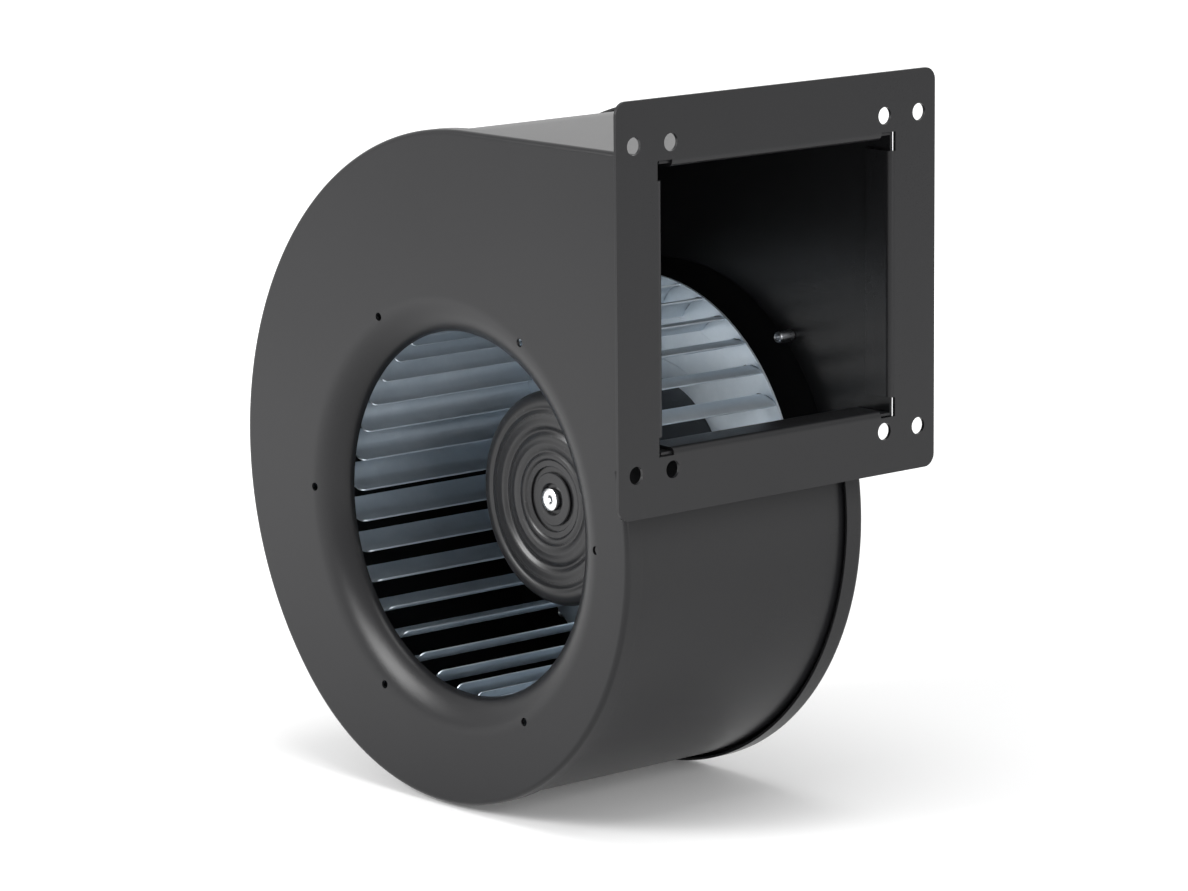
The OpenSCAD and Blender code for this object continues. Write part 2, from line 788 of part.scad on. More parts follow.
// A blade's centre line is one arc through its inner and outer edges; band widens it for slots.
module blade_section(band) {
    inner = [0, blade_inner_r];
    outer = blade_outer_r * [sin(blade_lead_a), cos(blade_lead_a)];
    chord = outer - inner;
    half = norm(chord) / 2;
    rise = sqrt(pow(blade_curve_r, 2) - pow(half, 2));
    across_chord = [chord[1], -chord[0]] / norm(chord);
    middle = (inner + outer) / 2 + rise * across_chord;
    intersection() {
        translate(middle) difference() {
            circle(blade_curve_r + band / 2);
            circle(blade_curve_r - band / 2);
        }
        clock(blade_lead_a / 2) polygon([
            [0, 0], [-0.12 * wheel_r, 1.2 * wheel_r], [0.12 * wheel_r, 1.2 * wheel_r]
        ]);
    }
}

// Radius against depth of a blade: rounded front corner, tabs through the disc.
module blade_outline() {
    translate([blade_inner_r + blade_corner_r, blades_y])
        square([blade_outer_r - blade_inner_r - blade_corner_r, blades_end_y - blades_y]);
    translate([blade_inner_r, blades_y + blade_corner_r])
        square([blade_corner_r, blades_end_y - blades_y - blade_corner_r]);
    translate([blade_inner_r + blade_corner_r, blades_y + blade_corner_r]) circle(blade_corner_r);
    for (r = tab_rs) translate([r - tab_w / 2, blades_end_y - 1])
        square([tab_w, 1 + disc_t + tab_stand]);
}

module impeller_blades() {
    color(zinc) for (i = [0 : blades - 1]) rotate([0, blade_start_a + i * 360 / blades, 0])
        intersection() {
            slab(blades_y - 1, blades_end_y - blades_y + 5) blade_section(blade_t);
            turned(90 - blade_span_a, 90 + blade_span_a) blade_outline();
        }
}

module impeller_disc() {
    slope = disc_step;
    color(zinc) difference() {
        turned() polygon([
            [wheel_r, disc_y], [disc_ring_r, disc_y], [disc_ring_r - slope, disc_y + disc_step],
            [disc_seat_r, disc_y + disc_step], [disc_seat_r - slope, disc_y + 2 * disc_step],
            [disc_bore_r, disc_y + 2 * disc_step], [disc_bore_r, disc_back_y],
            [disc_seat_r - slope, disc_back_y], [disc_seat_r, disc_back_y - disc_step],
            [disc_ring_r - slope, disc_back_y - disc_step],
            [disc_ring_r, disc_back_y - 2 * disc_step], [wheel_r, disc_back_y - 2 * disc_step]
        ]);
        slab(disc_y - eps, disc_t + 2 * eps) intersection() {
            ring_of(blades, blade_start_a) blade_section(blade_t + slot_play);
            for (r = tab_rs) difference() {
                circle(r + tab_w / 2 + slot_play / 2);
                circle(r - tab_w / 2 - slot_play / 2);
            }
        }
        for (i = [0 : hub_rivets_n - 1])
            pin_at(i * 360 / hub_rivets_n, hub_rivet_r, hub_rivet_d + 2 * snug, disc_y, 4);
    }
}

// Front ring over the blades' ends, with a short lip round their outer edges.
module impeller_ring() {
    color(zinc) turned() {
        translate([wheel_r - ring_width, blades_y - disc_t]) square([ring_width, disc_t]);
        translate([blade_outer_r + snug, blades_y - disc_t])
            square([wheel_r + disc_t - blade_outer_r - snug, disc_t + 2.4]);
    }
}

// Black flange welded on the can's open end; the disc is riveted to it.
module impeller_hub() {
    color(steel_black) slab(disc_back_y, hub_t) difference() {
        circle(hub_r);
        circle(rotor_r + snug);
        ring_of(hub_rivets_n) translate([0, hub_rivet_r]) circle(d = hub_rivet_d + 2 * snug);
    }
}

module hub_rivets() {
    color("silver") for (i = [0 : hub_rivets_n - 1]) {
        a = i * 360 / hub_rivets_n;
        pin_at(a, hub_rivet_r, hub_rivet_d, disc_back_y - disc_t, disc_t + hub_t);
        pin_at(a, hub_rivet_r, hub_head_d, disc_back_y - disc_t - hub_head_t, hub_head_t);
        pin_at(a, hub_rivet_r, hub_head_d, can_end_y, hub_head_t);
    }
}

module can_section(inset) {
    face_y = rotor_y + inset;
    r = rotor_r - inset;
    corner = shoulder_r - inset;
    translate([0, face_y]) square([r - corner, can_end_y - face_y]);
    translate([r - corner, face_y + corner]) square([corner, can_end_y - face_y - corner]);
    translate([r - corner, face_y + corner]) circle(corner);
}

// Deep-drawn can: rounded shoulder, two turned grooves, a dished centre and balancing dimples.
module rotor_can() {
    groove_rs = [rotor_r - 13.7, rotor_r - 6.2];
    dish_r = 13.8;
    dish_depth = 0.6;
    mark_r = rotor_r - 9.4;
    color(steel_black) difference() {
        turned() difference() {
            can_section(0);
            can_section(rotor_t);
            translate([0, can_end_y - 1]) square([rotor_r - rotor_t, 2]);
            square([face_hole_r, can_inside_y + 1]);
            translate([0, rotor_y - 1]) square([dish_r, 1 + dish_depth]);
            translate([groove_rs[0], rotor_y - 0.5]) circle(1.2);
            translate([groove_rs[1], rotor_y - 0.7]) circle(1);
        }
        for (a = [20, 95, 215]) pin_at(a, mark_r, 1.4, rotor_y - 1, 1.6);
    }
}

// Turned bush: staked behind the can's face, pressed on the shaft.
module rotor_bush() {
    color(steel_black) turned() difference() {
        union() {
            translate([0, rotor_y + 0.3]) square([boss_r, can_inside_y - rotor_y]);
            translate([0, can_inside_y]) square([bush_flange_r, bush_flange_t]);
            translate([0, can_inside_y + bush_flange_t])
                square([inner_ring_r, bearing_y - can_inside_y - bush_flange_t]);
        }
        translate([0, rotor_y - 1]) square([boss_hole_r, 2.8]);
        square([shaft_d / 2 + snug, bearing_y + 1]);
    }
}

module rotor_magnets() {
    half = 180 / magnets - magnet_gap_a / 2;
    color("dimgray") slab(core_y - magnet_over, core_h + 2 * magnet_over)
        ring_of(magnets) rotate(90) arc_band(magnet_inner_r, magnet_outer_r, -half, half);
}

// Shaft with chamfered ends, a centre-drilled face and the clip's groove.
module motor_shaft() {
    r = shaft_d / 2;
    chamfer = 0.4;
    color("white") turned() polygon([
        [0, shaft_y + 1.2], [1, shaft_y], [r - chamfer, shaft_y], [r, shaft_y + chamfer],
        [r, clip_y], [groove_r, clip_y], [groove_r, clip_y + clip_t], [r, clip_y + clip_t],
        [r, shaft_end_y - chamfer], [r - chamfer, shaft_end_y], [0, shaft_end_y]
    ]);
}

module shaft_circlip() {
    color("gray") slab(clip_y + eps, clip_t - 2 * eps) difference() {
        union() {
            circle(groove_r + 1.6);
            for (x = [-1, 1]) translate([x * 1.8, groove_r + 1.8]) circle(1.1);
        }
        circle(groove_r + snug);
        translate([-0.8, 0]) square([1.6, 2 * groove_r + 2]);
    }
}

inlet_plate();
scroll_wrap();
rear_plate();
outlet_flange();
carrier_plate();
carrier_rivets();
motor_flange();
motor_screws();
bearing_cap();
cable_grommet();
stator_core();
front_insulator();
rear_insulator();
stator_coils();
driver_board();
board_capacitors();
board_chips();
bearing_outer_rings();
bearing_shields();
preload_washer();
impeller_disc();
impeller_ring();
impeller_blades();
impeller_hub();
hub_rivets();
rotor_can();
rotor_bush();
rotor_magnets();
motor_shaft();
bearing_inner_rings();
shaft_circlip();
bearing_balls();
bearing_cages();
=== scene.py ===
# %% [markdown]
# # A forward-curved blower
#
# The real object is a folded steel scroll with a galvanised wheel inside, turned by a motor
# whose outer can spins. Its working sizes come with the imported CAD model, which is loaded
# first and never moved. What follows dresses that frame: smooth folded sheet, a wheel made of
# repeated blades, and a finish for each surface.

# %% Load the frame
import math

import bmesh
import bpy
from mathutils import Matrix, Vector
from mathutils.geometry import delaunay_2d_cdt


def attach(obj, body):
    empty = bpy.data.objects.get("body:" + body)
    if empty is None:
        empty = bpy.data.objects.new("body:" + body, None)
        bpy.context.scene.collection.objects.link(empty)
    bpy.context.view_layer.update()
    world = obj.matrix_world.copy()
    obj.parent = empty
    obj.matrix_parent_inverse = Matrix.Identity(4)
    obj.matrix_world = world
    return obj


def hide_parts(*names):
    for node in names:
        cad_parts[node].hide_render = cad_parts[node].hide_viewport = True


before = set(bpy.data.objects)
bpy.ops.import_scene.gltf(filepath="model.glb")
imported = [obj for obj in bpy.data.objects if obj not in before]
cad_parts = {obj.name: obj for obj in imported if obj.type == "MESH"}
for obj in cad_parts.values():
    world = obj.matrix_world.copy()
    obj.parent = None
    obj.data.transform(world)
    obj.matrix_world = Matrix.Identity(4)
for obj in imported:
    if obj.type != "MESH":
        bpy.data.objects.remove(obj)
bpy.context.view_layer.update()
MM = 0.001

# %% [markdown]
# ## Shader maths as Python
#
# A node tree for a worn or sprayed surface is mostly arithmetic on a few patterns. Wrapping a
# socket in a small class lets that arithmetic be written as an expression: each operator adds
# the Math node that it stands for. `Finish` keeps one material's tree, and its `node` method
# makes any node from its type, its settings and its socket values.

# %% Sockets with operators, and a material builder
class Wire:
    """One output socket; arithmetic on it adds Math nodes to the same tree."""

    def __init__(self, finish, socket):
        self.finish, self.socket = finish, socket

    def maths(self, operation, a, b):
        return self.finish.node("ShaderNodeMath", {"operation": operation}, {0: a, 1: b})

    def __add__(self, other):
        return self.maths("ADD", self, other)

    def __sub__(self, other):
        return self.maths("SUBTRACT", self, other)

    def __rsub__(self, other):
        return self.maths("SUBTRACT", other, self)

    def __mul__(self, other):
        return self.maths("MULTIPLY", self, other)

    __radd__ = __add__
    __rmul__ = __mul__


class Finish:
    """A material under construction: its tree and its Principled shader."""

    def __init__(self, name, **values):
        self.material = bpy.data.materials.new(name)
        self.material.use_nodes = True
        self.tree = self.material.node_tree
        self.shader = self.tree.nodes["Principled BSDF"]
        self.feed(**values)

    def node(self, kind, settings=None, sockets=None, out=0):
        made = self.tree.nodes.new(kind)
        for key, value in (settings or {}).items():
            if key == "stops":
                while len(made.color_ramp.elements) < len(value):
                    made.color_ramp.elements.new(0.5)
                for element, (at, shade) in zip(made.color_ramp.elements, value):
                    element.position, element.color = at, (*shade, 1)
            else:
                setattr(made, key, value)
        for key, value in (sockets or {}).items():
            self.plug(made.inputs[key], value)
        return Wire(self, made.outputs[out])

    def plug(self, socket, value):
        if isinstance(value, Wire):
            self.tree.links.new(value.socket, socket)
        elif socket.type == "RGBA" and len(value) == 3:
            socket.default_value = (*value, 1)
        else:
            socket.default_value = value

    def feed(self, **values):
        for name, value in values.items():
            label = name.replace("_", " ").title().replace("Ior", "IOR")
            self.plug(self.shader.inputs[label], value)

    def place(self, scale=(1, 1, 1)):
        """Object coordinates, stretched per axis."""
        here = self.node("ShaderNodeTexCoord", out="Object")
        return self.node("ShaderNodeMapping", {}, {"Vector": here, "Scale": scale})

    def noise(self, scale, detail=2.0, roughness=0.5, stretch=(1, 1, 1)):
        return self.node("ShaderNodeTexNoise", {}, {
            "Vector": self.place(stretch), "Scale": scale, "Detail": detail,
            "Roughness": roughness})

    def ramp(self, factor, *stops):
        return self.node("ShaderNodeValToRGB", {"stops": stops}, {"Fac": factor})

    def blend(self, factor, a, b):
        return self.node("ShaderNodeMix", {"data_type": "RGBA"}, {0: factor, 6: a, 7: b}, out=2)

    def remap(self, value, low, high):
        """A 0 to 1 pattern taken to low to high."""
        return value * (high - low) + low

    def bump(self, height, distance, strength=1.0):
        self.feed(normal=self.node("ShaderNodeBump", {}, {
            "Height": height, "Distance": distance, "Strength": strength}))

    def radius(self):
        """Distance from the shaft axis, which runs along Y through the origin."""
        here = self.node("ShaderNodeTexCoord", out="Object")
        flat = self.node("ShaderNodeVectorMath", {"operation": "MULTIPLY"}, {0: here, 1: (1, 0, 1)})
        return self.node("ShaderNodeVectorMath", {"operation": "LENGTH"}, {0: flat}, out="Value")


print("Shader helpers are ready")

# %% [markdown]
# ## Black coats
#
# The housing is sprayed with a satin black powder that dries as a very fine grain. A dense
# noise drives a small bump for the grain, and a broad one shifts the gloss a little so that
# large faces aren't dead even. The motor's can has a smoother dipped coat over turned rings,
# so its pattern follows the distance from the shaft.

# %% The housing's powder coat and the motor's dipped coat
powder = Finish("satin black powder coat", specular_ior_level=0.25)
grain = powder.noise(2600, 3, 0.6)
cloud = powder.noise(14, 3, 0.55)
powder.feed(
    base_color=powder.blend(cloud, (0.010, 0.010, 0.011), (0.013, 0.013, 0.014)),
    roughness=powder.remap(cloud, 0.27, 0.31) + powder.remap(grain, -0.03, 0.03),
)
powder.bump(grain, 0.00006, 0.5)

dipped = Finish("dipped black coat", specular_ior_level=0.4)
rings = dipped.node("ShaderNodeTexNoise", {"noise_dimensions": "1D"}, {
    "W": dipped.radius(), "Scale": 900, "Detail": 3})
dust = dipped.noise(900, 2)
specks = dipped.ramp(dust, (0.0, (0, 0, 0)), (0.70, (0, 0, 0)), (0.76, (1, 1, 1)))
dipped.feed(
    base_color=dipped.blend(specks, (0.014, 0.014, 0.015), (0.05, 0.05, 0.05)),
    roughness=dipped.remap(rings, 0.24, 0.36),
)
dipped.bump(rings, 0.00005, 0.6)
print("Black coats:", powder.material.name, "and", dipped.material.name)

# %% [markdown]
# ## Bare metals
#
# Galvanised sheet is blue-grey, with cloudy patches and faint rolling streaks. The streaks run
# along the blades, so the noise is stretched along Y. Zinc plate, bright steel and cast
# aluminium are the same recipe with other numbers, which a function keeps in one place.

# %% Galvanised sheet, and a recipe for the other metals
zinc = Finish("galvanised sheet", metallic=0.75)
streaks = zinc.noise(420, 3, 0.6, (1, 0.06, 1))
patches = zinc.noise(160, 4, 0.6)
zinc.feed(
    base_color=zinc.blend(patches, (0.56, 0.64, 0.71), (0.72, 0.79, 0.85)),
    roughness=zinc.remap(streaks, 0.36, 0.50) + zinc.remap(patches, -0.04, 0.06),
)
zinc.bump(streaks + patches * 0.6, 0.00004, 0.5)


def metal(name, light, dark, smooth, rough, scale, depth):
    """A bare metal whose colour and gloss drift between two values."""
    made = Finish(name, metallic=1.0)
    drift = made.noise(scale, 4, 0.6)
    made.feed(base_color=made.blend(drift, dark, light), roughness=made.remap(drift, smooth, rough))
    made.bump(drift, depth, 0.5)
    return made.material


zinc_plate = metal("zinc plate", (0.66, 0.68, 0.70), (0.50, 0.52, 0.55), 0.22, 0.36, 700, 0.00003)
bright_steel = metal("bright ground steel", (0.92, 0.92, 0.92), (0.80, 0.80, 0.81),
                     0.16, 0.26, 1500, 0.00001)
cast_alloy = metal("cast aluminium", (0.55, 0.56, 0.57), (0.42, 0.43, 0.44),
                   0.42, 0.58, 900, 0.00015)
dark_steel = metal("blued spring steel", (0.20, 0.20, 0.22), (0.12, 0.12, 0.14),
                   0.28, 0.40, 800, 0.00002)
print("Metals are ready")

# %% [markdown]
# ## Finishes of the parts deep inside
#
# The stator, its board and the bearings only show from a few angles, yet each still has the
# finish of its real stuff: wound wire has its turns, the core has its laminations along the
# shaft, and mouldings have a faint cast texture.

# %% Wire, laminations and mouldings
def moulding(name, shade, smooth, rough, scale=1200):
    """Moulded plastic, rubber or resin: one colour, with a faint cast grain."""
    made = Finish(name)
    cast = made.noise(scale, 2)
    darker = tuple(c * 0.8 for c in shade)
    made.feed(base_color=made.blend(cast, darker, shade), roughness=made.remap(cast, smooth, rough))
    made.bump(cast, 0.00004, 0.4)
    return made.material


def layered(name, light, dark, pitch, metallic):
    """Layers stacked along the shaft, such as laminations or turns of wire."""
    made = Finish(name, metallic=metallic, roughness=0.38)
    here = made.node("ShaderNodeTexCoord", out="Object")
    depth = made.node("ShaderNodeSeparateXYZ", {}, {0: here}, out="Y")
    wave = made.node("ShaderNodeMath", {"operation": "SINE"}, {0: depth * (2 * math.pi / pitch)})
    made.feed(base_color=made.blend(made.remap(wave, 0.5, 1.0), dark, light))
    made.bump(wave, 0.0001, 0.6)
    return made.material


laminated = layered("stacked laminations", (0.30, 0.31, 0.33), (0.12, 0.12, 0.13), 0.001, 0.9)
copper = layered("enamelled copper turns", (0.62, 0.24, 0.09), (0.30, 0.09, 0.03), 0.0006, 0.8)
nylon = moulding("natural nylon", (0.70, 0.67, 0.57), 0.40, 0.55)
rubber = moulding("black rubber", (0.018, 0.018, 0.018), 0.55, 0.70)
grey_plastic = moulding("dark grey plastic", (0.045, 0.045, 0.048), 0.40, 0.52)
board_green = moulding("board laminate", (0.02, 0.13, 0.06), 0.28, 0.40, 500)
epoxy = moulding("chip epoxy", (0.020, 0.020, 0.020), 0.42, 0.55)
sleeve = moulding("capacitor sleeve", (0.025, 0.028, 0.05), 0.25, 0.35)
ferrite = moulding("sintered ferrite", (0.060, 0.060, 0.065), 0.55, 0.70, 600)
brass = metal("stamped brass", (0.74, 0.56, 0.26), (0.58, 0.42, 0.18), 0.24, 0.36, 900, 0.00002)
print("Inner finishes are ready")

# %% [markdown]
# ## Sizes
#
# All lengths are in millimetres, in the CAD model's frame: X towards the outlet, Y into the
# body from the inlet plate's face, Z up, with the shaft along Y through the origin.

# %% Sizes shared by the sheet pieces
SHEET, RIM_BEND = 1.0, 1.6
DEPTH = 105.0
BACK, BACK_R = Vector((7.5, 12.5)), 119.0
CHANGE = 223
LOW_R = 97.8
CHANGE_T = math.radians(CHANGE)
LOW = BACK + (BACK_R - LOW_R) * Vector((math.cos(CHANGE_T), math.sin(CHANGE_T)))
FLOOR, TONGUE_R = 34.5, 5.0
TOP = BACK.y + BACK_R
TONGUE = Vector((LOW.x + math.sqrt((LOW_R + TONGUE_R) ** 2 - (FLOOR - TONGUE_R - LOW.y) ** 2),
                 FLOOR - TONGUE_R))
TONGUE_AT = math.degrees(math.atan2(TONGUE.y - LOW.y, TONGUE.x - LOW.x))
FLANGE_T, FLANGE_X = 1.2, 105.9
DUCT_END = FLANGE_X - FLANGE_T
print("Tongue centre:", [round(c, 2) for c in TONGUE], "at", round(TONGUE_AT, 2), "degrees")

# %% [markdown]
# ## Folded sheet
#
# A folded piece is easiest to draw as one skin, the face that shows, and then to thicken. The
# Solidify modifier adds the wall behind it, and a narrow Bevel rounds the sheared edges, which
# is what catches the light along real sheet metal. `skin` welds the drawn faces, turns them
# the right way and adds both modifiers.

# %% From a skin to sheet metal
def turn_out(bm, towards):
    """Makes the faces agree, then points the largest one towards a direction."""
    bmesh.ops.remove_doubles(bm, verts=bm.verts, dist=0.002 * MM)
    bmesh.ops.recalc_face_normals(bm, faces=bm.faces)
    largest = max(bm.faces, key=lambda f: abs(f.normal.dot(towards)) * f.calc_area())
    if largest.normal.dot(towards) < 0:
        bmesh.ops.reverse_faces(bm, faces=bm.faces)


def finished(name, bm, material, body):
    """Turns a bmesh in metres into a smooth-shaded piece that rides on a body."""
    mesh = bpy.data.meshes.new(name)
    bm.to_mesh(mesh)
    bm.free()
    mesh.shade_smooth()
    mesh.set_sharp_from_angle(angle=math.radians(38))
    made = bpy.data.objects.new(name, mesh)
    bpy.context.scene.collection.objects.link(made)
    made.data.materials.append(material)
    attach(made, body)
    return made


def edge_radius(made, width, segments=2, angle=40):
    bevel = made.modifiers.new("Edge radius", "BEVEL")
    bevel.width, bevel.segments = width * MM, segments
    bevel.limit_method, bevel.angle_limit = "ANGLE", math.radians(angle)
    bevel.harden_normals = True
    return made


def skin(name, bm, towards, thickness, material, body, edge=0.15):
    turn_out(bm, Vector(towards))
    made = finished(name, bm, material, body)
    wall = made.modifiers.new("Wall", "SOLIDIFY")
    wall.thickness, wall.offset = thickness * MM, -1
    wall.use_even_offset = True
    return edge_radius(made, edge)


def strip(bm, rows, closed=False):
    """Joins rows of points, in mm, with faces."""
    grid = [[bm.verts.new(Vector(p) * MM) for p in row] for row in rows]
    pairs = list(zip(grid, grid[1:])) + ([(grid[-1], grid[0])] if closed else [])
    for a, b in pairs:
        for k in range(len(a) - 1):
            bm.faces.new((a[k], a[k + 1], b[k + 1], b[k]))


def spun(bm, profile, count=240):
    """Turns (radius, depth) points, in mm, about the shaft; a radius of zero makes a tip."""
    turns = [2 * math.pi * k / count for k in range(count)]
    rings = [[bm.verts.new(Vector((r * math.cos(t), y, r * math.sin(t))) * MM)
              for t in (turns if r > 0 else turns[:1])] for r, y in profile]
    for a, b in zip(rings, rings[1:]):
        for k in range(count):
            n = k + 1
            corners = [a[k % len(a)], a[n % len(a)], b[n % len(b)], b[k % len(b)]]
            bm.faces.new(list(dict.fromkeys(corners)))


def within(loop, p):
    """Whether a flat point lies inside a closed loop, by counting the edges to its right."""
    pairs = zip(loop, loop[1:] + loop[:1])
    return sum((a.y > p.y) != (b.y > p.y) and p.x < a.x + (b.x - a.x) * (p.y - a.y) / (b.y - a.y)
               for a, b in pairs) % 2 == 1


def filled(bm, loops, guides, drilled, place):
    """Fills the area between flat loops with triangles. Guides are loops that the triangles
    follow, drilled holds (centre, radius) holes, and place takes a flat point into space."""
    rims = [arc(centre, radius, 0, 345, 15) for centre, radius in drilled]
    points, edges = [], []
    for loop in loops + guides + rims:
        first = len(points)
        points += loop
        edges += [(first + k, first + (k + 1) % len(loop)) for k in range(len(loop))]
    found, _, faces, *_ = delaunay_2d_cdt(points, edges, [], 0, 1e-4)
    verts = [bm.verts.new(Vector(place(p)) * MM) for p in found]
    for face in faces:
        centre = sum((found[k] for k in face), Vector((0, 0))) / 3
        clear = all((centre - c).length > r * 0.99 for c, r in drilled)
        if clear and sum(within(loop, centre) for loop in loops) % 2:
            bm.faces.new([verts[k] for k in face])
    bmesh.ops.delete(bm, geom=[v for v in bm.verts if not v.link_faces], context="VERTS")


def arc(centre, radius, start, end, step=1.5):
    """Points of an arc, in degrees, both ends included."""
    count = max(2, round(abs(end - start) / step))
    turns = [math.radians(start + (end - start) * k / count) for k in range(count + 1)]
    return [Vector((centre[0] + radius * math.cos(t), centre[1] + radius * math.sin(t)))
            for t in turns]


print("Sheet helpers are ready")

# %% [markdown]
# ## The scroll's outline
#
# Two tangent arcs, the duct's roof and floor, and the small bend of the tongue make the
# outline. Each sample keeps its outward direction, so any offset of it, for a rim outside or
# a wall inside, comes from the same samples.

# %% Samples of the outline with their outward directions
def outline_runs():
    """The roof and arcs, the tongue, and the floor, as lists of (point, outward)."""
    def round_part(centre, radius, start, end, sense=1, step=1.5):
        return [(p, sense * (p - centre).normalized())
                for p in arc(centre, radius, start, end, step)]

    roof = [(Vector((x, TOP)), Vector((0, 1))) for x in (DUCT_END, 60, BACK.x)]
    spiral = (roof[:-1] + round_part(BACK, BACK_R, 90, CHANGE)
              + round_part(LOW, LOW_R, CHANGE, 360 + TONGUE_AT)[1:])
    tongue = round_part(TONGUE, TONGUE_R, 180 + TONGUE_AT, 90, -1, 8)
    floor = [tongue[-1], (Vector((DUCT_END, FLOOR)), Vector((0, -1)))]
    return spiral, tongue, floor


spiral, tongue, floor = outline_runs()


def offset(run, out, depth):
    """A run moved outwards, as points at a depth into the body."""
    return [(p.x + out * n.x, depth, p.y + out * n.y) for p, n in run]


print("Outline samples:", len(spiral), len(tongue), len(floor))

# %% [markdown]
# ## Side plates
#
# Each side plate is a pan: a flat face, a bend, and a rim that laps over the wrap. The flat is
# filled between its outline and its holes, and the bend and rim are rows of points that follow
# the outline. A last row just inside the bend keeps the flat's shading flat.

# %% A pan with any openings
def pan(bm, face, into, rim, stand_off, bore, guides, drilled, sink, bend=RIM_BEND):
    """face is the plate's depth, into is 1 or -1 as its rim runs, and sink(radius) is how far
    the plate has turned inwards there, for a plate whose bore is drawn into a mouth."""
    flat_in = bend - stand_off
    profile = [(stand_off - bend + bend * math.cos(t), bend + bend * math.sin(t))
               for t in [math.radians(270 + 90 * k / 6) for k in range(7)]]
    profile = [(-flat_in - 0.4, 0)] + profile + [(stand_off, bend + 0.3), (stand_off, rim)]
    for run in (spiral, floor):
        strip(bm, [offset(run, out, face + into * depth) for out, depth in profile])
    strip(bm, [offset(tongue, out, face) for out in (-flat_in - 0.4, stand_off)])
    inner = [[p - (flat_in + 0.4) * n for p, n in run] for run in (spiral, tongue, floor)]
    filled(bm, [inner[0] + inner[1][1:] + inner[2][1:], circle(bore)],
           [circle(radius) for radius in guides], drilled,
           lambda p: (p.x, face + into * sink(p.length), p.y))


def circle(radius, count=240):
    turns = [2 * math.pi * k / count for k in range(count)]
    return [Vector((radius * math.cos(t), radius * math.sin(t))) for t in turns]


def clocked(radius, angle):
    """A flat point at an angle in degrees, clockwise from the top."""
    return radius * Vector((math.sin(math.radians(angle)), math.cos(math.radians(angle))))


MOUTH_R, THROAT_R, LIP_R, NOZZLE = 75.0, 62.3, 5.0, 8.4
run_in, fall = MOUTH_R - THROAT_R - LIP_R, NOZZLE - LIP_R
extra = (run_in ** 2 + fall ** 2) / (2 * fall)
BELL_R = LIP_R + extra
turn = math.degrees(math.asin(run_in / extra))
FLAT_END = 71.6


def bell_sink(radius):
    """How far the mouth has turned inwards at a radius, on its wide outer arc."""
    return BELL_R - math.sqrt(BELL_R ** 2 - max(0.0, MOUTH_R - radius) ** 2)


mouth = [Vector((FLAT_END, bell_sink(FLAT_END)))]
mouth += [p for p in arc((MOUTH_R, BELL_R), BELL_R, 270, 270 - turn, 3) if p.x < FLAT_END - 0.3]
bell = mouth + arc((MOUTH_R - run_in, NOZZLE), LIP_R, 270 - turn, 180, 8)[1:]

bm = bmesh.new()
GUARD_R, GUARD_HOLE_R = 74, 1.45
INLET_RIM, INLET_GAP = 6.4, 0.15
MOUTH_GUIDES = [75.6, MOUTH_R, 74.2, 73.4, 72.5]
guard_holes = [(clocked(GUARD_R, -30 + 60 * k), GUARD_HOLE_R) for k in range(6)]
pan(bm, 0, 1, INLET_RIM, INLET_GAP, FLAT_END, MOUTH_GUIDES, guard_holes, bell_sink)
spun(bm, bell)
inlet = skin("inlet_pan", bm, (0, -1, 0), SHEET, powder.material, "housing", 0.2)
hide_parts("inlet_plate")

bm = bmesh.new()
REAR_RIM, REAR_GAP, REAR_BORE_R = 7.5, 1.2, 77
pan(bm, DEPTH, -1, REAR_RIM, REAR_GAP, REAR_BORE_R, [], [], lambda radius: 0)
rear = skin("rear_pan", bm, (0, 1, 0), SHEET, powder.material, "housing", 0.2)
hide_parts("rear_plate")
print("Pans:", len(inlet.data.polygons), "and", len(rear.data.polygons), "faces before thickening")

# %% [markdown]
# ## The wrap
#
# One long strip of sheet forms the scroll's wall, the tongue and the duct's floor. It lies just
# inside both rims, so its skin is the outline moved in by one sheet.

# %% The strip round the scroll
whole = spiral + tongue[1:] + floor[1:]
bm = bmesh.new()
strip(bm, [offset(whole, -SHEET, y) for y in (RIM_BEND, DEPTH - SHEET)])
wrap = skin("wrap_strip", bm, (0, 0, 1), SHEET, powder.material, "housing", 0.15)
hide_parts("scroll_wrap")
print("Wrap samples:", len(whole))

# %% [markdown]
# ## The outlet flange
#
# The flange is a drilled frame whose inner edges fold back into the duct as four lips, cut
# short at the corners so that they can bend. The frame is filled like the pans, and each lip
# is a few rows from the frame's edge round the bend and along the duct.

# %% Frame, holes and lips
Y0, Y1 = SHEET + FLANGE_T, DEPTH - SHEET - FLANGE_T
Z0, Z1 = FLOOR + 2 * SHEET + FLANGE_T, TOP - 2 * SHEET - FLANGE_T
MID_Y, MID_Z = (Y0 + Y1) / 2 + 0.5, (Z0 + Z1) / 2 + 0.5
LIP_BEND, LIP_DEPTH, RELIEF, EASE = 2.0, 11.6, 4.0, 0.4
FLANGE_Y, FLANGE_Z, FLANGE_CORNER = 141, 134.5, 4.3
HOLE_R, HOLE_PITCHES, HOLE_RISE = 2.9, (126, 94.6), 52.8


def rounded_frame(width, height, corner):
    loop = []
    for k, (sy, sz) in enumerate([(1, 1), (-1, 1), (-1, -1), (1, -1)]):
        centre = (MID_Y + sy * (width / 2 - corner), MID_Z + sz * (height / 2 - corner))
        loop += arc(centre, corner, 90 * k, 90 * k + 90, 10)
    return loop


